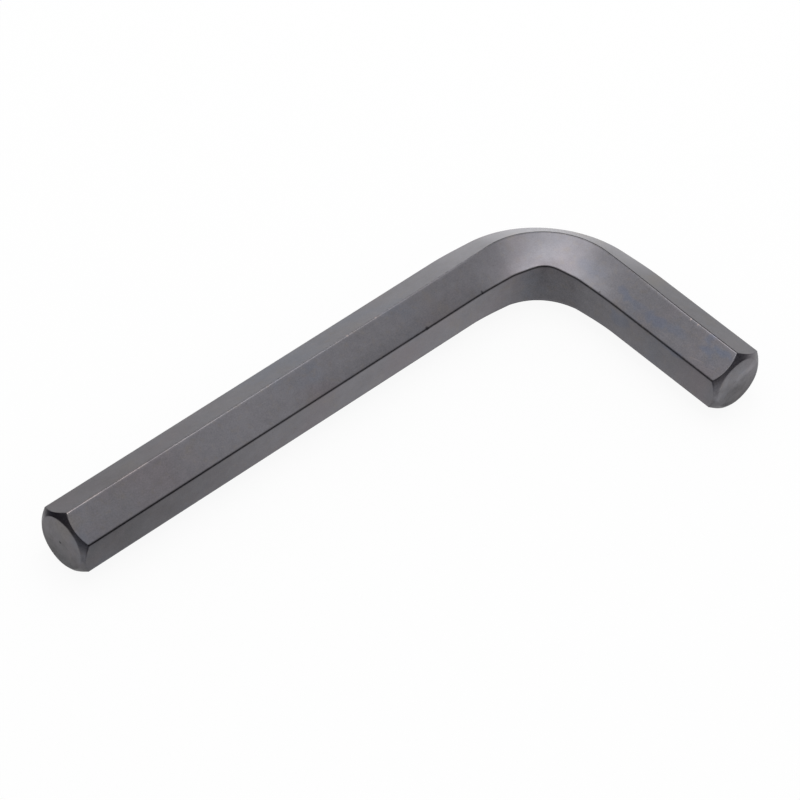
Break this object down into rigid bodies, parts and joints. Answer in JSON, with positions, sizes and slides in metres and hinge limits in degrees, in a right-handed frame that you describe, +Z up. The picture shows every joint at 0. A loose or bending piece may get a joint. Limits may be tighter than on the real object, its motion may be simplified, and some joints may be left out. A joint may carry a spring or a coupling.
{
  "type": "hex key",
  "caption": "L-shaped hexagon key of black-oxide steel with a long arm, a short arm and turned chamfers at the tips, for turning socket screws.",
  "frame": {"origin": "centre of the bounding box at its lowest point, on the surface that the key lies on", "axes": "+X from the long arm's tip towards the bend, +Y from the short arm's tip towards the bend, +Z up, square to the plane of the bend"},
  "size_m": [0.177, 0.08, 0.0195],
  "materials": {
    "oxide_steel": "black oxide on drawn alloy steel, satin, with faint temper blue, fine draw lines and worn edges"
  },
  "bodies": {
    "root": {"hex_key": "oxide_steel"}
  },
  "joints": []
}
